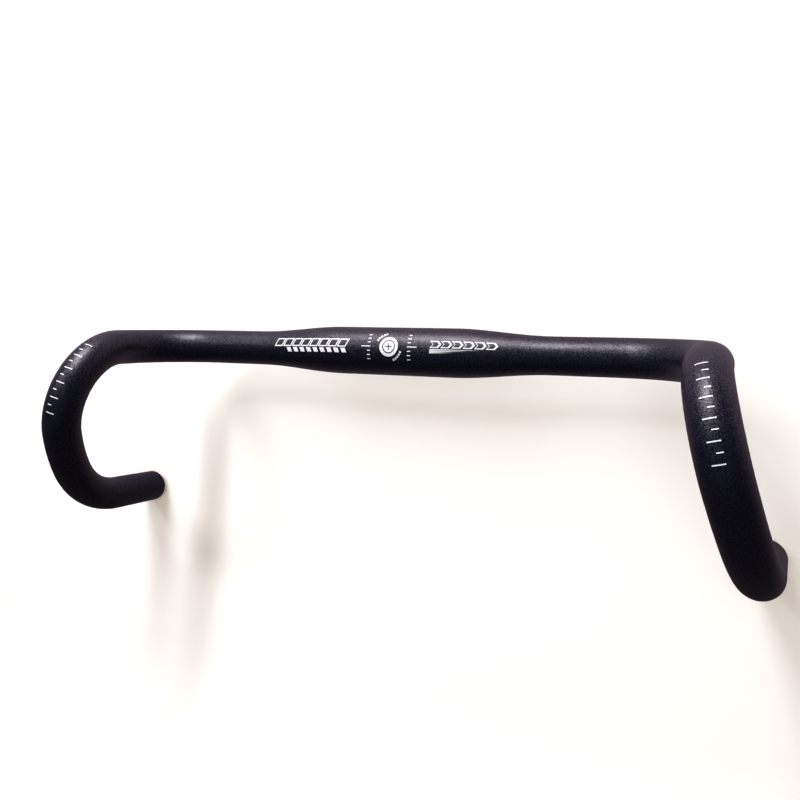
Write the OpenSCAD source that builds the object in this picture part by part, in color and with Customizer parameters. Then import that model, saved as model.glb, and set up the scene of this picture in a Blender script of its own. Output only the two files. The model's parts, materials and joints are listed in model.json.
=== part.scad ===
// Drop handlebar for a bicycle: one bent, butted aluminium tube with printed scales, and an
// expanding plug in each open end.
// The origin is the middle of the stem clamp. +X is one side, -Y is forwards, +Z is up,
// and the two sides mirror each other in X. Millimetres and degrees.

/* [Stem clamp] */
// Diameter that the stem holds
clamp_d = 31.8; // [31.8:0.1:35]
// Width of the full-diameter middle
clamp_w = 80; // [70:1:100]
// Length of each taper, from the clamp down to the grip tube
taper_l = 62; // [50:1:70]

/* [Tube] */
// Outside diameter of the grip tube
grip_d = 23.8; // [23.2:0.1:24.2]
// Wall under the stem clamp
clamp_wall = 2.4; // [1.8:0.1:3]
// Wall of the grip tube
grip_wall = 1.6; // [1.4:0.1:2]

/* [Shape of one side] */
// From the middle to the start of the corner bend
tops_half = 142; // [122:1:180]
// Radius of the corner bend, from the tops to the hood
corner_r = 47.5; // [40:0.5:60]
// How far the hoods turn towards each other
toe_in = 5; // [0:0.5:10]
// How far the hoods slope down towards the front
ramp_drop = 6; // [0:0.5:12]
// How far the hooks lean outwards
flare = 15; // [0:0.5:25]
// Radius of the hook's upper bend, where the brake lever sits
upper_r = 42; // [38:1:50]
// Turn of the upper bend
upper_turn = 112.5; // [105:0.5:116]
// Radius of the hook's middle stretch
middle_r = 135; // [100:5:200]
// Turn of the middle stretch
middle_turn = 13; // [8:0.5:18]
// Radius of the hook's lower bend
lower_r = 76; // [65:1:90]
// Turn of the lower bend
lower_turn = 48.5; // [40:0.5:56]
// Length of the straight drop end
drop_l = 47; // [40:1:80]

/* [Printed marks] */
// Height of the marks' middle, in degrees above straight forwards
print_tilt = 8; // [0:1:30]
// Clamp scale: distance of its near ends from the middle
clamp_scale_x = 12.9; // [10:0.1:16]
// Clamp scale: ticks above and below the long one
clamp_scale_n = 3; // [1:1:4]
// Clamp scale: pitch round the bar in degrees
clamp_scale_pitch = 10; // [6:1:12]
// Lever scale: where it starts, in degrees round the upper bend
lever_scale_start = 34; // [20:1:40]
// Lever scale: pitch of its long ticks in degrees
lever_scale_pitch = 11.1; // [8:0.1:12]
// Lever scale: number of long ticks
lever_scale_n = 6; // [3:1:6]
// Width of the scales' ticks
tick_w = 0.6; // [0.4:0.05:1.2]
// Width of the graphics' lines
line_w = 0.75; // [0.4:0.05:1]

/* [End plugs] */
// Diameter of the plug's flange
flange_d = 22.4; // [21.6:0.1:23]
// Thickness of the flange
flange_t = 1.8; // [1.6:0.1:3]
// Length of the rubber sleeve when it is tight
sleeve_l = 16; // [14:0.5:18]
// Length of the screw under its head
screw_l = 30; // [30:1:36]

/* [Hidden] */
$fn = 96;
clamp_r = clamp_d / 2;
grip_r = grip_d / 2;
bore_r = grip_r - grip_wall;
taper_steps = 16;

// How far a cut runs past the surface that it opens.
past = 1;

tube_black = "#1b191d";
ink_white = "#f4f4f2";
cap_black = "#141416";
sleeve_grey = "#26262a";
nut_brass = "#b9a35a";
screw_steel = "#8d8f93";

// How the stretches of a side join as one solid. Each bend is swept too far by the angle
// overrun, then cut off square where the next stretch starts. Neighbours differ in radius by
// one or two ledges, and the seams of all their circles lie along one line.
overrun = 1;
ledge = 0.01;
corner_seam = 90 + ramp_drop;
hook_seam = corner_seam + 90 + flare;

// Rounding of the drop end's lip.
lip = 0.6;

// The ink stands off the metal by ink_gap, so that the two never share space.
ink_gap = 0.01;
ink_t = 0.05;

// An M4 socket screw, and the clearances of the plug.
thread_d = 4;
head_d = 7;
head_l = 4;
socket_af = 3;
socket_l = 2.2;
running_gap = 0.05;
seat_gap = 0.02;
plug_gap = 0.2;
head_sunk = 0.4;
screw_chamfer = 0.4;
flange_rim = 0.6;
spigot_l = 6;
groove_n = 3;
groove_w = 1.4;
groove_depth = 0.6;
nut_d = 18.8;
nut_nose_d = 9;
nut_nose_l = 5;
nut_body_l = 4;
head_seat_x = flange_t - head_sunk - head_l;

// ---- Where things are: each stretch of a side starts at its own origin and runs along its +X ----

// Carries on from the far end of a bend that turns from +X towards -Z.
module past_bend(radius, turn)
    translate([0, 0, -radius]) rotate([0, turn, 0]) translate([0, 0, radius]) children();

module at_corner()
    translate([tops_half, 0, 0]) rotate([ramp_drop - 90, 0, 0]) children();

module at_upper()
    at_corner() past_bend(corner_r, 90 + toe_in) rotate([90 + flare, 0, 0]) children();

module at_middle()
    at_upper() past_bend(upper_r, upper_turn) children();

module at_lower()
    at_middle() past_bend(middle_r, middle_turn) children();

module at_drop()
    at_lower() past_bend(lower_r, lower_turn) children();

module at_end()
    at_drop() translate([drop_l, 0, 0]) children();

module left()
    mirror([1, 0, 0]) children();

// ---- Tube ----

// Sweeps a profile round a bend, from before its start to after its end. The profile's +X is the
// outside of the bend, and its +Y is the bend's own +Y.
module round_bend(radius, from, to)
    translate([0, 0, -radius]) rotate([0, -90, -90]) rotate([0, 0, from])
        rotate_extrude(angle = to - from) translate([radius, 0]) children();

// The tops' radius at a distance from the middle, with an S-shaped taper between a and b.
function eased(u) = u * u * (3 - 2 * u);
function taper_at(x) = min(max((abs(x) - clamp_w / 2) / taper_l, 0), 1);
function tops_radius(x, a, b) = a + (b - a) * eased(taper_at(x));

// Where the taper's outline has its points.
taper_x = [for (i = [0 : taper_steps]) clamp_w / 2 + taper_l * i / taper_steps];
one_side_x = concat(taper_x, [tops_half]);
both_sides_x = concat([for (i = [len(one_side_x) - 1 : -1 : 0]) -one_side_x[i]], one_side_x);

// A bend of a solid rod of radius r, cut off square at its end.
module bend(radius, turn, r, seam)
    difference() {
        round_bend(radius, 0, turn + overrun) rotate(seam) circle(r);
        past_bend(radius, turn) translate([0, -2 * r, -2 * r]) cube(4 * r);
    }

// The straight middle of the bar as a solid, with radius a in the clamp and b in the tops.
module tops(a, b)
    rotate([0, 90, 0]) rotate_extrude()
        polygon(concat(
            [[0, -tops_half]],
            [for (x = both_sides_x) [tops_radius(x, a, b), x]],
            [[0, tops_half]]
        ));

// One side as a solid of radius r, up to the straight drop end.
module side(r) {
    at_corner() bend(corner_r, 90 + toe_in, r - ledge, corner_seam);
    at_upper() bend(upper_r, upper_turn, r, hook_seam);
    at_middle() bend(middle_r, middle_turn, r - ledge, hook_seam);
    at_lower() bend(lower_r, lower_turn, r - 2 * ledge, hook_seam);
}

// Turns a round part that grows along +Z to lie along the drop end, with its seam in line.
module along_drop()
    at_drop() rotate([0, 90, 0]) rotate(180 - hook_seam) children();

// The drop end's outline, with a rounded lip.
module drop_end()
    along_drop() rotate_extrude() {
        square([grip_r, drop_l - lip]);
        square([grip_r - lip, drop_l]);
        translate([grip_r - lip, drop_l - lip]) circle(lip);
    }

// The drop end's bore.
module drop_bore()
    along_drop() cylinder(r = bore_r, h = drop_l + past);

module both_sides() {
    children();
    left() children();
}

module handlebar_tube()
    color(tube_black) difference() {
        union() {
            tops(clamp_r, grip_r);
            both_sides() {
                side(grip_r);
                drop_end();
            }
        }
        union() {
            tops(clamp_r - clamp_wall, bore_r);
            both_sides() {
                side(bore_r);
                drop_bore();
            }
        }
    }

// ---- Printed marks ----

// A thin skin over the middle of the bar, from one x to another.
module ink_skin(from, to) {
    inside = [for (x = both_sides_x) if (x > from && x < to) x];
    stations = concat([from], inside, [to]);
    last = len(stations) - 1;
    under = [for (x = stations) [tops_radius(x, clamp_r, grip_r) + ink_gap, x]];
    over = [for (i = [last : -1 : 0]) [under[i][0] + ink_t, stations[i]]];
    rotate([0, 90, 0]) rotate_extrude() polygon(concat(under, over));
}

// Prints a flat drawing on the front of the bar: +X runs along the bar and +Y is up.
module print_on_bar(from, to)
    color(ink_white) intersection() {
        ink_skin(from, to);
        rotate([90 - print_tilt, 0, 0]) linear_extrude(clamp_r + past) children();
    }

// A disc with a ring and a cross cut out of it, between two arcs of dashes.
module centre_mark() {
    disc_r = 6.4;
    ring_r = 4.1;
    cross_l = 4.4;
    dash_r = 8.9;
    dash_l = 1.15;
    dash_w = 1.3;
    dash_step = 11;
    arc_middles = [130, -45];
    reach = dash_r + dash_w;
    print_on_bar(-reach, reach) {
        difference() {
            circle(disc_r);
            difference() {
                circle(ring_r + line_w / 2);
                circle(ring_r - line_w / 2);
            }
            square([cross_l, line_w], center = true);
            square([line_w, cross_l], center = true);
        }
        for (middle = arc_middles, i = [-2 : 2]) {
            rotate(middle + dash_step * i) translate([dash_r, 0]) square([dash_w, dash_l], center = true);
        }
    }
}

// A column of ticks round the bar, with the middle one long.
module clamp_scale() {
    short_l = 2.2;
    long_l = 6.4;
    color(ink_white) intersection() {
        ink_skin(clamp_scale_x, clamp_scale_x + long_l);
        for (i = [-clamp_scale_n : clamp_scale_n]) {
            rotate([-print_tilt - clamp_scale_pitch * i, 0, 0])
                translate([clamp_scale_x - past, -clamp_r - past, -tick_w / 2])
                    cube([(i == 0 ? long_l : short_l) + past, 2 * past, tick_w]);
        }
    }
}

// A parallelogram that leans over to the right.
module slanted(w, h, lean)
    polygon([[0, 0], [w, 0], [w + lean, h], [lean, h]]);

// The outline of a slanted block.
module slanted_frame(w, h, lean, line)
    difference() {
        slanted(w, h, lean);
        translate([line * (1 + lean / h), line])
            slanted(w - 2 * line, h - 2 * line, lean * (1 - 2 * line / h));
    }

// A row of slanted frames over a row of smaller solid feet that lean the other way.
module stripe_graphic_left() {
    start = -87;
    block_n = 8;
    block_pitch = 7.1;
    block_w = 6.4;
    block_h = 5.6;
    block_lean = 2.4;
    block_y = -0.9;
    foot_n = 9;
    foot_start = -77;
    foot_pitch = 5.3;
    foot_w = 3.3;
    foot_h = 3;
    foot_lean = 1.3;
    foot_y = -1.6;
    print_on_bar(start, start + block_n * block_pitch + block_lean) {
        for (i = [0 : block_n - 1]) {
            translate([start + block_pitch * i, block_y]) slanted_frame(block_w, block_h, block_lean, line_w);
        }
        for (i = [0 : foot_n - 1]) {
            translate([foot_start + foot_pitch * i, foot_y])
                mirror([0, 1]) slanted(foot_w, foot_h, foot_lean);
        }
    }
}

// A band with a notched tail and a pointed head.
module arrow(w, h, point)
    polygon([[0, 0], [w, 0], [w + point, h / 2], [w, h], [0, h], [point, h / 2]]);

// The outline of an arrow, with lines of one width along its edges and tail_w at its ends.
module arrow_frame(w, h, point, line, tail_w)
    difference() {
        arrow(w, h, point);
        translate([tail_w, line]) arrow(w - 2 * tail_w, h - 2 * line, point * (1 - 2 * line / h));
    }

// A row of arrow frames over three streaks that get shorter and run out to the right.
module stripe_graphic_right() {
    start = 28;
    arrow_n = 6;
    arrow_pitch = 7.2;
    arrow_w = 5.6;
    arrow_h = 4.6;
    arrow_point = 2;
    arrow_line = 0.8 * line_w;
    arrow_tail = 0.9;
    arrow_y = -0.2;
    streak_n = 3;
    streak_l = 34;
    streak_loss = 9;
    streak_h = 0.75;
    streak_slope = 0.1;
    streak_pitch = 0.95;
    streak_y = -1;
    print_on_bar(start, start + arrow_n * arrow_pitch + arrow_point) {
        for (i = [0 : arrow_n - 1]) {
            translate([start + arrow_pitch * i, arrow_y])
                arrow_frame(arrow_w, arrow_h, arrow_point, arrow_line, arrow_tail);
        }
        for (i = [0 : streak_n - 1]) {
            translate([start, streak_y - streak_pitch * i])
                polygon([[0, 0], [streak_l - streak_loss * i, -streak_slope], [0, -streak_h]]);
        }
    }
}

// A ring segment for a tick that lies round the tube.
module tick_section(r, from, to)
    intersection() {
        difference() {
            circle(r + ink_gap + ink_t);
            circle(r + ink_gap);
        }
        polygon([
            [0, 0],
            2 * r * [cos(from), sin(from)],
            2 * r * [cos(to), sin(to)]
        ]);
    }

// Long and short ticks by turns along the upper bend, with their outboard ends in line.
module lever_scale() {
    outboard = 13;
    long_span = 29;
    short_span = 14.5;
    half_tick = tick_w / 2 / (upper_r + grip_r) * 180 / PI;
    color(ink_white) at_upper() for (i = [0 : 2 * lever_scale_n - 2]) {
        middle = lever_scale_start + lever_scale_pitch * i / 2;
        span = i % 2 == 0 ? long_span : short_span;
        round_bend(upper_r, middle - half_tick, middle + half_tick)
            tick_section(grip_r, outboard - span, outboard);
    }
}

// ---- End plug: x is 0 at the tube's end face and grows outwards ----

// The cap: a flange with a rounded edge on a spigot, with a seat for the screw's head.
module plug_cap() {
    edge = flange_t - flange_rim;
    color(cap_black) at_end() rotate([0, 90, 0]) difference() {
        union() {
            rotate_extrude() {
                square([flange_d / 2 - edge, flange_t]);
                intersection() {
                    translate([flange_d / 2 - edge, flange_t - edge]) circle(edge);
                    square([flange_d, flange_t]);
                }
                square([flange_d / 2, flange_t - edge]);
            }
            translate([0, 0, -spigot_l]) cylinder(r = bore_r - plug_gap, h = spigot_l + flange_rim / 2);
        }
        translate([0, 0, -spigot_l - past])
            cylinder(d = thread_d + 2 * running_gap, h = spigot_l + flange_t + 2 * past);
        translate([0, 0, head_seat_x - seat_gap])
            cylinder(d = head_d + 4 * running_gap, h = head_l + 2 * past);
    }
}

// The sleeve fills the bore. Its inner end is a cone that the nut pulls into.
module plug_sleeve() {
    outer_r = bore_r - seat_gap;
    color(sleeve_grey) at_end() rotate([0, -90, 0]) translate([0, 0, spigot_l + seat_gap]) difference() {
        cylinder(r = outer_r, h = sleeve_l);
        translate([0, 0, -past]) cylinder(d = thread_d + 4 * running_gap, h = sleeve_l + 2 * past);
        translate([0, 0, sleeve_l - nut_nose_l])
            cylinder(d1 = nut_nose_d + plug_gap, d2 = nut_d + plug_gap, h = nut_nose_l + seat_gap);
        for (i = [1 : groove_n]) {
            translate([0, 0, sleeve_l * i / (groove_n + 1) - groove_w / 2]) difference() {
                cylinder(r = outer_r + past, h = groove_w);
                translate([0, 0, -past]) cylinder(r = outer_r - groove_depth, h = groove_w + 2 * past);
            }
        }
    }
}

// A cone nut that draws into the sleeve.
module plug_nut()
    color(nut_brass) at_end() rotate([0, -90, 0])
        translate([0, 0, spigot_l + 2 * seat_gap + sleeve_l - nut_nose_l]) difference() {
            union() {
                cylinder(d1 = nut_nose_d, d2 = nut_d, h = nut_nose_l);
                translate([0, 0, nut_nose_l]) cylinder(d = nut_d, h = nut_body_l);
            }
            translate([0, 0, -past])
                cylinder(d = thread_d + 2 * running_gap, h = nut_nose_l + nut_body_l + 2 * past);
        }

// A socket screw whose head is sunk in the cap.
module plug_screw()
    color(screw_steel) at_end() rotate([0, 90, 0]) translate([0, 0, head_seat_x]) difference() {
        union() {
            cylinder(d = head_d, h = head_l - screw_chamfer);
            translate([0, 0, head_l - screw_chamfer])
                cylinder(d1 = head_d, d2 = head_d - 2 * screw_chamfer, h = screw_chamfer);
            translate([0, 0, -screw_l + screw_chamfer]) cylinder(d = thread_d, h = screw_l);
            translate([0, 0, -screw_l])
                cylinder(d1 = thread_d - 2 * screw_chamfer, d2 = thread_d, h = screw_chamfer);
        }
        translate([0, 0, head_l - socket_l]) cylinder(d = socket_af / cos(30), h = socket_l + past, $fn = 6);
    }

handlebar_tube();
centre_mark();
left() clamp_scale();  // clamp_scale_left
clamp_scale();  // clamp_scale_right
stripe_graphic_left();
stripe_graphic_right();
left() lever_scale();  // lever_scale_left
lever_scale();  // lever_scale_right
left() plug_cap();  // plug_cap_left
plug_cap();  // plug_cap_right
left() plug_sleeve();  // plug_sleeve_left
plug_sleeve();  // plug_sleeve_right
left() plug_nut();  // plug_nut_left
plug_nut();  // plug_nut_right
left() plug_screw();  // plug_screw_left
plug_screw();  // plug_screw_right
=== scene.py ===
"""Looks for the drop handlebar: a swept tube, its printed marks and its end plugs, before a pale wall."""
import json
import math

import bmesh
import bpy
from mathutils import Matrix, Vector


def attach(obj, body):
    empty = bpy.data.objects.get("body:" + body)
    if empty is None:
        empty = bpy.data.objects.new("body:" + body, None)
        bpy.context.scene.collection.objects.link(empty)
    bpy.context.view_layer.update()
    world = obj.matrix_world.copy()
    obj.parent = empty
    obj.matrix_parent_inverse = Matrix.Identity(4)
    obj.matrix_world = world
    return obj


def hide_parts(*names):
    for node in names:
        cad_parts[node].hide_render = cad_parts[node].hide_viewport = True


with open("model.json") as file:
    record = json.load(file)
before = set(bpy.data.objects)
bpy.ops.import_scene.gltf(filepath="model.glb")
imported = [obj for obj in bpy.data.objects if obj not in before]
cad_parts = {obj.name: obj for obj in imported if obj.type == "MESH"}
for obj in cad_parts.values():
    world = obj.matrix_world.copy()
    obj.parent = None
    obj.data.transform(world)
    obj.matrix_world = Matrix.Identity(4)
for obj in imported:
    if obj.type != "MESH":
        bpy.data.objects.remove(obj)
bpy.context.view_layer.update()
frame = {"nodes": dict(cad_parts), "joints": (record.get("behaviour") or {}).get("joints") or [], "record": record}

MM = 0.001
SIDES = {"left": -1, "right": 1}
MOUNTS = {mount["name"]: mount for mount in frame["record"]["mounts"]}
JOINTS = {joint["name"]: joint for joint in frame["joints"]}

# The tube, as the CAD has it. Radii and lengths that the record states are read from it. Turns and
# other angles are in degrees here and below.
CLAMP_R = MOUNTS["stem_clamp"]["dims"]["r_mm"] * MM
CLAMP_HALF = MOUNTS["stem_clamp"]["dims"]["length_mm"] / 2 * MM
GRIP_R = MOUNTS["tops_right"]["dims"]["r_mm"] * MM
CLAMP_WALL = 2.4 * MM
GRIP_WALL = 1.6 * MM
BORE_R = GRIP_R - GRIP_WALL
TAPER_L = 62 * MM
TOPS_HALF = 142 * MM
CORNER_R, CORNER_TURN = 47.5 * MM, 95
RAMP_DROP = 6
FLARE = 15
UPPER_R, UPPER_TURN = 42 * MM, 112.5
MIDDLE_R, MIDDLE_TURN = 135 * MM, 13
LOWER_R, LOWER_TURN = 76 * MM, 48.5
DROP_L = 47 * MM
LIP = 0.6 * MM

# The printed marks, as the CAD has them. PRINT_LINE is in mm, as the flat shapes are.
PRINT_TILT = 8
SCALE_X = 12.9 * MM
SCALE_N = 3
SCALE_PITCH = 10
LEVER_START = 34
LEVER_PITCH = 11.1
LEVER_N = 6
TICK_W = 0.6 * MM
PRINT_LINE = 0.75
INK_GAP = 0.01 * MM
INK_T = 0.05 * MM

# How finely the meshes are made, and how near points have to be to become one.
AROUND = 96
BEND_STEP = 2.4
TAPER_STEPS = 32
LIP_STEPS = 6
INK_STEP = 0.5 * MM
TICK_STEP = 1.5
SEAM_WELD = 0.001 * MM
CUT_WELD = 0.0001 * MM


# ---- Where things are ----

def move(x, y, z):
    return Matrix.Translation((x, y, z))


def turn(axis, degrees):
    return Matrix.Rotation(math.radians(degrees), 4, axis)


def past_bend(radius, degrees):
    """The frame at an angle round a bend that turns from +X towards -Z."""
    return move(0, 0, -radius) @ turn("Y", degrees) @ move(0, 0, radius)


AT_CORNER = move(TOPS_HALF, 0, 0) @ turn("X", RAMP_DROP - 90)
AT_UPPER = AT_CORNER @ past_bend(CORNER_R, CORNER_TURN) @ turn("X", 90 + FLARE)
AT_MIDDLE = AT_UPPER @ past_bend(UPPER_R, UPPER_TURN)
AT_LOWER = AT_MIDDLE @ past_bend(MIDDLE_R, MIDDLE_TURN)
AT_DROP = AT_LOWER @ past_bend(LOWER_R, LOWER_TURN)
AT_END = AT_DROP @ move(DROP_L, 0, 0)

end_gap = (AT_END.translation - Vector(JOINTS["right_screw_turn"]["pos_m"])).length
assert end_gap < 0.01 * MM, f"the tube's end is {end_gap} m from the CAD's"


def tops_radius(x, clamp_r=CLAMP_R, grip_r=GRIP_R):
    """The tops' radius at a distance from the middle, with an S-shaped taper."""
    u = min(max((abs(x) - CLAMP_HALF) / TAPER_L, 0), 1)
    return clamp_r + (grip_r - clamp_r) * u * u * (3 - 2 * u)


# ---- Mesh making ----

def add_object(name, data):
    obj = bpy.data.objects.new(name, data)
    bpy.context.scene.collection.objects.link(obj)
    return obj


def add_mesh(name, bm, material, smooth):
    """Turns a bmesh into an object with one material."""
    mesh = bpy.data.meshes.new(name)
    bm.to_mesh(mesh)
    bm.free()
    for polygon in mesh.polygons:
        polygon.use_smooth = smooth
    mesh.materials.append(material)
    return add_object(name, mesh)


def add_piece(name, node_name, bm, material, smooth):
    """Turns a bmesh into a piece that rides on the bar in place of a CAD node."""
    bmesh.ops.recalc_face_normals(bm, faces=bm.faces)
    piece = add_mesh(name, bm, material, smooth)
    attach(piece, "handlebar")
    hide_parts(node_name)


def tube_stations():
    """Frames along the right half of the centre line with the outside and inside radius at each."""
    stations = []
    # A ring close to where a straight stretch ends keeps its shading even.
    straight = [0, CLAMP_HALF / 2, CLAMP_HALF * 0.95]
    taper = [CLAMP_HALF + TAPER_L * i / TAPER_STEPS for i in range(TAPER_STEPS + 1)]
    beyond = [(CLAMP_HALF + TAPER_L + TOPS_HALF) / 2]
    for x in straight + taper + beyond:
        inside = tops_radius(x, CLAMP_R - CLAMP_WALL, BORE_R)
        stations.append((move(x, 0, 0), tops_radius(x), inside))
    bends = [
        (AT_CORNER, CORNER_R, CORNER_TURN),
        (AT_UPPER, UPPER_R, UPPER_TURN),
        (AT_MIDDLE, MIDDLE_R, MIDDLE_TURN),
        (AT_LOWER, LOWER_R, LOWER_TURN),
    ]
    for start, radius, degrees in bends:
        steps = max(4, round(degrees / BEND_STEP))
        for i in range(steps):
            stations.append((start @ past_bend(radius, degrees * i / steps), GRIP_R, BORE_R))
    for share in (0, 0.5, 0.9):
        stations.append((AT_DROP @ move((DROP_L - LIP) * share, 0, 0), GRIP_R, BORE_R))
    return stations


def tube_rings():
    """The right half's skin as rings: out along the outside, round the lip, back along the bore."""
    stations = tube_stations()
    rings = [(place, outside) for place, outside, inside in stations]
    for i in range(LIP_STEPS + 1):
        a = math.pi / 2 * i / LIP_STEPS
        place = AT_END @ move(LIP * (math.sin(a) - 1), 0, 0)
        rings.append((place, GRIP_R - LIP * (1 - math.cos(a))))
    rings.append((AT_END, BORE_R))
    rings += [(place, inside) for place, outside, inside in reversed(stations)]
    return rings


def make_tube(material):
    """Skins the rings, carrying one direction along them so that nothing twists, then mirrors the half."""
    bm = bmesh.new()
    upright = Vector((0, 0, 1))
    last_ring = None
    for place, radius in tube_rings():
        along = place.col[0].xyz
        upright = (upright - along * upright.dot(along)).normalized()
        sideways = along.cross(upright)
        ring = []
        for k in range(AROUND):
            a = 2 * math.pi * k / AROUND
            outward = math.cos(a) * upright + math.sin(a) * sideways
            ring.append(bm.verts.new(place.translation + radius * outward))
        if last_ring:
            for k in range(AROUND):
                n = (k + 1) % AROUND
                bm.faces.new((last_ring[k], last_ring[n], ring[n], ring[k]))
        last_ring = ring
    half = bm.verts[:] + bm.edges[:] + bm.faces[:]
    bmesh.ops.mirror(bm, geom=half, merge_dist=SEAM_WELD, axis="X")
    add_piece("tube", "handlebar_tube", bm, material, smooth=True)


def add_slab(bm, across, along, point):
    """Adds a thin closed slab of across by along cells.

    point(s, t, layer) places each corner, with s and t from 0 to 1, and layer 0 below and 1 above.
    """
    layers = []
    for layer in (0, 1):
        layers.append([
            [bm.verts.new(point(s / across, t / along, layer)) for t in range(along + 1)]
            for s in range(across + 1)
        ])
    under, over = layers
    for s in range(across):
        for t in range(along):
            for g in layers:
                bm.faces.new((g[s][t], g[s + 1][t], g[s + 1][t + 1], g[s][t + 1]))
    rim = [(s, 0) for s in range(across)] + [(across, t) for t in range(along)]
    rim += [(s, along) for s in range(across, 0, -1)] + [(0, t) for t in range(along, 0, -1)]
    for i, (s, t) in enumerate(rim):
        u, v = rim[(i + 1) % len(rim)]
        bm.faces.new((under[s][t], under[u][v], over[u][v], over[s][t]))


# ---- Printed marks ----

def add_ink(node_name, bm, material):
    add_piece(node_name + "_ink", node_name, bm, material, smooth=False)


def ink_height(layer):
    return INK_GAP + INK_T * layer


def clamp_scale(side_name, side, material):
    """A column of ticks round the clamp, with the middle one long. side is the sign of X there."""
    short_l = 2.2 * MM
    long_l = 6.4 * MM
    bm = bmesh.new()
    for i in range(-SCALE_N, SCALE_N + 1):
        length = long_l if i == 0 else short_l
        middle = math.radians(PRINT_TILT + SCALE_PITCH * i)
        half = math.asin(TICK_W / 2 / CLAMP_R)

        def point(s, t, layer):
            a = middle + half * (2 * s - 1)
            r = CLAMP_R + ink_height(layer)
            return (side * (SCALE_X + length * t), -r * math.cos(a), r * math.sin(a))

        add_slab(bm, 2, 2, point)
    add_ink("clamp_scale_" + side_name, bm, material)


def lever_scale(side_name, side, material):
    """Long and short ticks by turns along the upper bend, with their outboard ends in line."""
    outboard = 13
    long_span = 29
    short_span = 14.5
    half_tick = math.degrees(TICK_W / 2 / (UPPER_R + GRIP_R))
    bm = bmesh.new()
    for i in range(2 * LEVER_N - 1):
        middle = LEVER_START + LEVER_PITCH * i / 2
        span = long_span if i % 2 == 0 else short_span

        def point(s, t, layer):
            place = AT_UPPER @ past_bend(UPPER_R, middle + half_tick * (2 * s - 1))
            a = math.radians(outboard - span * (1 - t))
            r = GRIP_R + ink_height(layer)
            p = place @ Vector((0, r * math.sin(a), r * math.cos(a)))
            return (side * p.x, p.y, p.z)

        add_slab(bm, 2, round(span / TICK_STEP), point)
    add_ink("lever_scale_" + side_name, bm, material)


def cut_in_strips(bm, normal, low, high):
    """Cuts flat faces into strips, so that they can bend."""
    count = math.ceil((high - low) / INK_STEP)
    for i in range(1, count):
        at = Vector(normal) * (low + (high - low) * i / count)
        bmesh.ops.bisect_plane(
            bm, geom=bm.verts[:] + bm.edges[:] + bm.faces[:], dist=CUT_WELD, plane_co=at, plane_no=normal)


def print_on_bar(node_name, shapes, material):
    """Prints flat shapes on the bar's front. Each is a list of loops in mm: its outline, then its holes."""
    bm = bmesh.new()
    for loops in shapes:
        edges = []
        for loop in loops:
            verts = [bm.verts.new((x * MM, y * MM, 0)) for x, y in loop]
            edges += [bm.edges.new((verts[i - 1], verts[i])) for i in range(len(verts))]
        bmesh.ops.triangle_fill(bm, use_beauty=True, edges=edges, normal=(0, 0, 1))
    xs = [v.co.x for v in bm.verts]
    ys = [v.co.y for v in bm.verts]
    cut_in_strips(bm, (0, 1, 0), min(ys), max(ys))
    cut_in_strips(bm, (1, 0, 0), min(xs), max(xs))
    bmesh.ops.remove_doubles(bm, verts=bm.verts, dist=CUT_WELD)
    over = bmesh.ops.extrude_face_region(bm, geom=bm.faces[:], use_keep_orig=True)["geom"]
    over = {v for v in over if isinstance(v, bmesh.types.BMVert)}
    tilt = math.radians(PRINT_TILT)
    up = Vector((0, math.sin(tilt), math.cos(tilt)))
    forward = Vector((0, -math.cos(tilt), math.sin(tilt)))
    for v in bm.verts:
        x, y, layer = v.co.x, v.co.y, int(v in over)
        r = tops_radius(x) + ink_height(layer)
        v.co = Vector((x, 0, 0)) + y * up + math.sqrt(r * r - y * y) * forward
    add_ink(node_name, bm, material)


# Flat shapes, in mm.

def circle(radius, steps=64):
    angles = [2 * math.pi * i / steps for i in range(steps)]
    return [(radius * math.cos(a), radius * math.sin(a)) for a in angles]


def cross(length, width):
    arm, half = length / 2, width / 2
    corner = [(arm, -half), (arm, half), (half, half)]
    return [point for quarter in range(4) for point in turned(corner, 90 * quarter)]


def box(width, height):
    x, y = width / 2, height / 2
    return [(-x, -y), (x, -y), (x, y), (-x, y)]


def slanted(width, height, lean):
    return [(0, 0), (width, 0), (width + lean, height), (lean, height)]


def arrow(width, height, point):
    tip = [(width, 0), (width + point, height / 2), (width, height)]
    return [(0, 0)] + tip + [(0, height), (point, height / 2)]


def shifted(loop, x, y):
    return [(px + x, py + y) for px, py in loop]


def turned(loop, degrees):
    c, s = math.cos(math.radians(degrees)), math.sin(math.radians(degrees))
    return [(c * x - s * y, s * x + c * y) for x, y in loop]


def flipped(loop):
    return [(x, -y) for x, y in loop]


def centre_mark(material):
    """A disc with a ring and a cross cut out of it, between two arcs of dashes."""
    disc_r = 6.4
    ring_r = 4.1
    cross_l = 4.4
    dash_r = 8.9
    dash_l = 1.15
    dash_w = 1.3
    dash_step = 11
    arc_middles = (130, -45)
    shapes = [
        [circle(disc_r), circle(ring_r + PRINT_LINE / 2)],
        [circle(ring_r - PRINT_LINE / 2), cross(cross_l, PRINT_LINE)],
    ]
    for middle in arc_middles:
        for i in range(-2, 3):
            shapes.append([turned(shifted(box(dash_w, dash_l), dash_r, 0), middle + dash_step * i)])
    print_on_bar("centre_mark", shapes, material)


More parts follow.
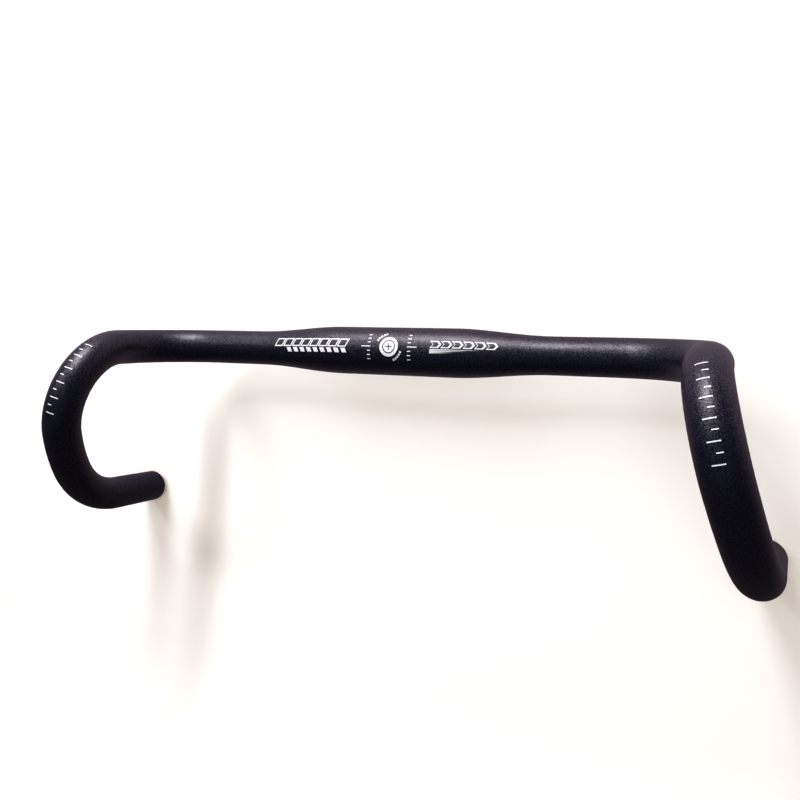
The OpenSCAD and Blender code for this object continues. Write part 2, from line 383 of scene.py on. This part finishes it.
def stripe_graphic_left(material):
    """A row of slanted frames over a row of smaller solid feet that lean the other way."""
    start = -87
    block_n = 8
    block_pitch = 7.1
    block_w = 6.4
    block_h = 5.6
    block_lean = 2.4
    block_y = -0.9
    foot_n = 9
    foot_start = -77
    foot_pitch = 5.3
    foot_w = 3.3
    foot_h = 3
    foot_lean = 1.3
    foot_y = -1.6
    line = PRINT_LINE
    outline = slanted(block_w, block_h, block_lean)
    hole = slanted(block_w - 2 * line, block_h - 2 * line, block_lean * (1 - 2 * line / block_h))
    hole = shifted(hole, line * (1 + block_lean / block_h), line)
    shapes = []
    for i in range(block_n):
        x = start + block_pitch * i
        shapes.append([shifted(outline, x, block_y), shifted(hole, x, block_y)])
    foot = flipped(slanted(foot_w, foot_h, foot_lean))
    for i in range(foot_n):
        shapes.append([shifted(foot, foot_start + foot_pitch * i, foot_y)])
    print_on_bar("stripe_graphic_left", shapes, material)


def stripe_graphic_right(material):
    """A row of arrow frames over three streaks that get shorter and run out to the right."""
    start = 28
    arrow_n = 6
    arrow_pitch = 7.2
    arrow_w = 5.6
    arrow_h = 4.6
    arrow_point = 2
    arrow_tail = 0.9
    arrow_y = -0.2
    streak_n = 3
    streak_l = 34
    streak_loss = 9
    streak_h = 0.75
    streak_slope = 0.1
    streak_pitch = 0.95
    streak_y = -1
    line = 0.8 * PRINT_LINE
    outline = arrow(arrow_w, arrow_h, arrow_point)
    hole = arrow(arrow_w - 2 * arrow_tail, arrow_h - 2 * line, arrow_point * (1 - 2 * line / arrow_h))
    hole = shifted(hole, arrow_tail, line)
    shapes = []
    for i in range(arrow_n):
        x = start + arrow_pitch * i
        shapes.append([shifted(outline, x, arrow_y), shifted(hole, x, arrow_y)])
    for i in range(streak_n):
        streak = [(0, 0), (streak_l - streak_loss * i, -streak_slope), (0, -streak_h)]
        shapes.append([shifted(streak, start, streak_y - streak_pitch * i)])
    print_on_bar("stripe_graphic_right", shapes, material)


# ---- Materials ----

class Nodes:
    """A short way to write the node tree of a material or of the world."""

    def __init__(self, owner, output_kind="ShaderNodeOutputMaterial"):
        self.owner = owner
        owner.use_nodes = True
        self.tree = owner.node_tree
        self.tree.nodes.clear()
        self.output = self.add(output_kind)

    def add(self, kind, inputs=None, **settings):
        """Adds a node. An input is given a value, or the socket that it is linked to."""
        node = self.tree.nodes.new(kind)
        for key, value in settings.items():
            setattr(node, key, value)
        for key, value in (inputs or {}).items():
            if isinstance(value, bpy.types.NodeSocket):
                self.tree.links.new(value, node.inputs[key])
            else:
                node.inputs[key].default_value = value
        return node

    def noise(self, place, scale, detail, roughness=0.5):
        return self.add("ShaderNodeTexNoise", {
            "Vector": place, "Scale": scale, "Detail": detail, "Roughness": roughness}).outputs["Fac"]

    def remap(self, value, low, high, to_low, to_high):
        node = self.add("ShaderNodeMapRange", {
            "Value": value, "From Min": low, "From Max": high, "To Min": to_low, "To Max": to_high})
        return node.outputs["Result"]

    def spread(self, noise, low, high):
        """Spreads a noise's usual range over another."""
        return self.remap(noise, 0.3, 0.7, low, high)

    def mix(self, factor, a, b):
        """Mixes two colours, whose sockets on this node can only be told apart by number."""
        node = self.add("ShaderNodeMix", data_type="RGBA")
        for socket, value in ((node.inputs[0], factor), (node.inputs[6], a), (node.inputs[7], b)):
            if isinstance(value, bpy.types.NodeSocket):
                self.tree.links.new(value, socket)
            else:
                socket.default_value = value
        return node.outputs[2]

    def bump(self, height, distance, under=None):
        inputs = {"Height": height, "Distance": distance}
        if under is not None:
            inputs["Normal"] = under
        return self.add("ShaderNodeBump", inputs).outputs["Normal"]

    def place(self):
        return self.add("ShaderNodeTexCoord").outputs["Object"]

    def camera_ray(self):
        return self.add("ShaderNodeLightPath").outputs["Is Camera Ray"]

    def principled(self, **inputs):
        """The finished material of an object's surface. An input's name has _ for each space."""
        named = {name.replace("_", " "): value for name, value in inputs.items()}
        return self.finish(self.add("ShaderNodeBsdfPrincipled", named).outputs["BSDF"])

    def finish(self, shader):
        self.tree.links.new(shader, self.output.inputs["Surface"])
        return self.owner


def new_material(name):
    return Nodes(bpy.data.materials.new(name))


def anodised_black():
    """Bead-blasted, black anodised aluminium: near-black and satin, with a fine sparkling grain."""
    blue_black = (0.0022, 0.0044, 0.0115, 1)
    black = (0.0045, 0.0052, 0.0125, 1)
    tint = (1.0, 0.93, 0.97, 1)
    cloud_scale = 22
    grain_scale = 1300
    fine_scale = 2400
    cell_depth = 0.030 * MM
    grain_depth = 0.11 * MM
    fine_depth = 0.012 * MM
    nodes = new_material("anodised_black")
    place = nodes.place()
    cloud = nodes.noise(place, cloud_scale, 3)
    grain = nodes.noise(place, grain_scale, 1, 0.65)
    fine = nodes.noise(place, fine_scale, 1)
    cells = nodes.add("ShaderNodeTexVoronoi", {"Vector": place, "Scale": grain_scale}).outputs["Distance"]
    rough = nodes.add("ShaderNodeMath", {
        0: nodes.spread(grain, 0.36, 0.50),
        1: nodes.spread(cloud, -0.02, 0.02)}, operation="ADD").outputs[0]
    normal = nodes.bump(cells, cell_depth)
    normal = nodes.bump(grain, grain_depth, under=normal)
    normal = nodes.bump(fine, fine_depth, under=normal)
    # The tops of the grain sparkle and its hollows don't.
    return nodes.principled(
        Base_Color=nodes.mix(cloud, blue_black, black),
        Roughness=rough,
        Specular_IOR_Level=nodes.remap(grain, 0.38, 0.64, 0.22, 0.92),
        Specular_Tint=tint,
        Normal=normal)


def print_white():
    """Screen-printed white ink: slightly uneven, with the grain of the metal showing through."""
    full = (0.80, 0.80, 0.80, 1)
    thin = (0.64, 0.64, 0.65, 1)
    nodes = new_material("print_white")
    place = nodes.place()
    grain = nodes.noise(place, 1900, 2, 0.6)
    cloud = nodes.noise(place, 160, 2)
    return nodes.principled(
        Base_Color=nodes.mix(nodes.remap(grain, 0.35, 0.7, 0, 1), full, thin),
        Roughness=nodes.spread(cloud, 0.38, 0.55),
        Normal=nodes.bump(grain, 0.020 * MM))


def moulded(name, dark, light, rough, grain_scale, depth):
    """Moulded plastic or rubber with a fine spark-eroded grain."""
    nodes = new_material(name)
    place = nodes.place()
    grain = nodes.noise(place, grain_scale, 3, 0.6)
    cloud = nodes.noise(place, 120, 2)
    return nodes.principled(
        Base_Color=nodes.mix(cloud, dark, light),
        Roughness=nodes.spread(grain, rough - 0.08, rough + 0.08),
        Normal=nodes.bump(grain, depth))


def metal(name, dark, light, rough, marks_scale, depth):
    """Machined metal with fine tool marks and a little staining."""
    nodes = new_material(name)
    place = nodes.place()
    marks = nodes.noise(place, marks_scale, 4, 0.7)
    stain = nodes.noise(place, 110, 3, 0.4)
    return nodes.principled(
        Base_Color=nodes.mix(stain, dark, light),
        Metallic=1.0,
        Roughness=nodes.spread(marks, rough - 0.07, rough + 0.10),
        Normal=nodes.bump(marks, depth))


# ---- The bar ----

plug_materials = {
    "cap": moulded(
        "plug_black", dark=(0.012, 0.012, 0.013, 1), light=(0.020, 0.020, 0.022, 1),
        rough=0.52, grain_scale=1500, depth=0.03 * MM),
    "sleeve": moulded(
        "rubber_dark", dark=(0.016, 0.016, 0.017, 1), light=(0.028, 0.028, 0.030, 1),
        rough=0.75, grain_scale=900, depth=0.05 * MM),
    "nut": metal(
        "brass", dark=(0.62, 0.44, 0.17, 1), light=(0.74, 0.55, 0.24, 1),
        rough=0.30, marks_scale=1400, depth=0.010 * MM),
    "screw": metal(
        "steel", dark=(0.42, 0.42, 0.43, 1), light=(0.58, 0.58, 0.59, 1),
        rough=0.28, marks_scale=1700, depth=0.008 * MM),
}
white = print_white()
make_tube(anodised_black())
centre_mark(white)
stripe_graphic_left(white)
stripe_graphic_right(white)
for side_name, side in SIDES.items():
    clamp_scale(side_name, side, white)
    lever_scale(side_name, side, white)
    for part, material in plug_materials.items():
        node = frame["nodes"][f"plug_{part}_{side_name}"]
        node.data.materials.clear()
        node.data.materials.append(material)


# ---- Studio ----

# The seamless wall and floor, in metres. The drop ends nearly touch the wall.
WALL_Y = 0.040
WALL_TOP = 2.4
FLOOR_Z = -0.46
FLOOR_FRONT = -3.0
COVE_R = 0.22
COVE_STEPS = 16
STAGE_HALF = 8

PALE_ROOM = (0.93, 0.92, 0.91, 1)


def pale_paper():
    """Off-white paper with a warm glow in its shadows, as pale as the room far off, and clear from behind.

    Only the camera sees that. The bar mirrors a plainer copy instead: a painted, pink-tinted glow, bright up the
    wall and dim on the floor, that also lights the bar.
    """
    shadow_glow = (0.19, 0.15, 0.09, 1)
    # The pink tint of the painted glow, which shows in the bar's rims.
    painted_glow_colour = (1.0, 0.80, 0.93, 1)
    nodes = new_material("pale_paper")
    place = nodes.place()
    seen = nodes.camera_ray()
    colour = nodes.mix(nodes.noise(place, 3, 2), (0.86, 0.86, 0.86, 1), (0.90, 0.90, 0.90, 1))
    paper = nodes.add("ShaderNodeBsdfDiffuse", {"Color": colour}).outputs["BSDF"]
    distance = nodes.add("ShaderNodeVectorMath", {0: place}, operation="LENGTH").outputs["Value"]
    glow_colour = nodes.mix(nodes.remap(distance, 0.7, 1.6, 0, 1), shadow_glow, PALE_ROOM)
    glow = nodes.add("ShaderNodeEmission", {"Color": glow_colour}).outputs["Emission"]
    lit = nodes.add("ShaderNodeAddShader", {0: paper, 1: glow}).outputs["Shader"]
    height = nodes.add("ShaderNodeSeparateXYZ", {0: place}).outputs["Z"]
    # A painted glow for everything but the camera: it lights the bar and shows in its reflections, brighter up the
    # wall and dim on the floor.
    mirrored = nodes.add("ShaderNodeEmission", {
        "Color": painted_glow_colour,
        "Strength": nodes.remap(height, -0.18, 0.22, 0.09, 0.83)}).outputs["Emission"]
    shown = nodes.add("ShaderNodeMixShader", {0: seen, 1: mirrored, 2: lit}).outputs["Shader"]
    clear = nodes.add("ShaderNodeBsdfTransparent").outputs["BSDF"]
    behind = nodes.add("ShaderNodeNewGeometry").outputs["Backfacing"]
    hidden = nodes.add("ShaderNodeMath", {0: behind, 1: seen}, operation="MULTIPLY").outputs[0]
    surface = nodes.add("ShaderNodeMixShader", {0: hidden, 1: shown, 2: clear}).outputs["Shader"]
    return nodes.finish(surface)


def make_sweep():
    """The wall and floor, drawn as one outline along X."""
    outline = [(WALL_Y, WALL_TOP), (WALL_Y, FLOOR_Z + COVE_R)]
    for i in range(1, COVE_STEPS + 1):
        a = math.pi / 2 * i / COVE_STEPS
        outline.append((WALL_Y - COVE_R * (1 - math.cos(a)), FLOOR_Z + COVE_R * (1 - math.sin(a))))
    outline.append((FLOOR_FRONT, FLOOR_Z))
    bm = bmesh.new()
    rows = [[bm.verts.new((x, y, z)) for x in (-STAGE_HALF, STAGE_HALF)] for y, z in outline]
    for a, b in zip(rows, rows[1:]):
        bm.faces.new((a[0], b[0], b[1], a[1]))
    sweep = add_mesh("sweep", bm, pale_paper(), smooth=True)
    return sweep


def area_light(name, place, target, size, power, colour, mirrored=True):
    """A rectangular light. One that isn't mirrored lights surfaces without a highlight."""
    data = bpy.data.lights.new(name, "AREA")
    data.shape = "RECTANGLE"
    data.size, data.size_y = size
    data.energy = power
    data.color = colour
    light = add_object(name, data)
    light.location = place
    light.rotation_mode = "QUATERNION"
    light.rotation_quaternion = (Vector(target) - Vector(place)).to_track_quat("-Z", "Y")
    light.visible_glossy = mirrored
    return light


def link_light(light, obj, state):
    """Makes a light reach only obj (INCLUDE) or everything but obj (EXCLUDE)."""
    receivers = bpy.data.collections.new(light.name + "_receivers")
    receivers.objects.link(obj)
    receivers.collection_objects[0].light_linking.link_state = state
    light.light_linking.receiver_collection = receivers


def make_lights(sweep):
    """One strong light high on the left and two weak ones in front.

    The strong one is two: a deep one softens the shadows on the wall, and a short one lights the bar.
    """
    key = area_light(
        "key", place=(-0.245, -0.64, 1.06), target=(-0.05, 0, 0),
        size=(0.34, 0.24), power=19.5, colour=(0.96, 0.95, 1.0))
    wall_key = area_light(
        "wall_key", place=(-0.25, -0.64, 1.06), target=(-0.05, 0, 0),
        size=(0.12, 1.4), power=18.5, colour=(0.93, 0.96, 1.0))
    link_light(key, sweep, "EXCLUDE")
    link_light(wall_key, sweep, "INCLUDE")
    area_light(
        "front", place=(-0.95, -1.35, 0.80), target=(0, 0, -0.05),
        size=(0.35, 0.35), power=5, colour=(0.97, 0.97, 1.0))
    area_light(
        "fill", place=(0.10, -1.10, -0.10), target=(0, 0, -0.03),
        size=(0.8, 0.8), power=5, colour=(1.0, 1.0, 1.0), mirrored=False)


def make_world():
    """A dim room, lighter overhead, that looks plain and pale where the camera sees it past the paper."""
    nodes = Nodes(bpy.data.worlds.new("room"), "ShaderNodeOutputWorld")
    direction = nodes.add("ShaderNodeTexCoord").outputs["Generated"]
    height = nodes.add("ShaderNodeSeparateXYZ", {0: direction}).outputs["Z"]
    ramp = nodes.add("ShaderNodeValToRGB", {"Fac": nodes.remap(height, -1, 1, 0, 1)})
    ramp.color_ramp.interpolation = "EASE"
    walls, overhead = ramp.color_ramp.elements
    walls.position, walls.color = 0.60, (0.045, 0.048, 0.062, 1)
    overhead.position, overhead.color = 1.0, (0.30, 0.24, 0.28, 1)
    colour = nodes.mix(nodes.camera_ray(), ramp.outputs["Color"], PALE_ROOM)
    background = nodes.add("ShaderNodeBackground", {"Color": colour}).outputs["Background"]
    bpy.context.scene.world = nodes.finish(background)


def make_camera():
    """In front of the bar, right of its middle, looking back towards the left hook."""
    eye = Vector((0.183936, -0.444198, -0.025736))
    yaw, pitch, roll = -0.386, -0.013, -0.050
    ahead = Vector((math.sin(yaw) * math.cos(pitch), math.cos(yaw) * math.cos(pitch), math.sin(pitch)))
    level = ahead.cross(Vector((0, 0, 1))).normalized()
    down = ahead.cross(level)
    rolled_level = math.cos(roll) * level + math.sin(roll) * down
    rolled_down = math.cos(roll) * down - math.sin(roll) * level
    data = bpy.data.cameras.new("camera")
    data.sensor_width = 36
    data.lens = 32.604
    data.clip_start = 0.01
    camera = add_object("camera", data)
    axes = Matrix((rolled_level, -rolled_down, -ahead)).transposed()
    camera.matrix_world = Matrix.Translation(eye) @ axes.to_4x4()
    bpy.context.scene.camera = camera


make_lights(make_sweep())
make_world()
make_camera()
bpy.context.scene.view_settings.view_transform = "Standard"
bpy.context.scene.view_settings.look = "Medium High Contrast"
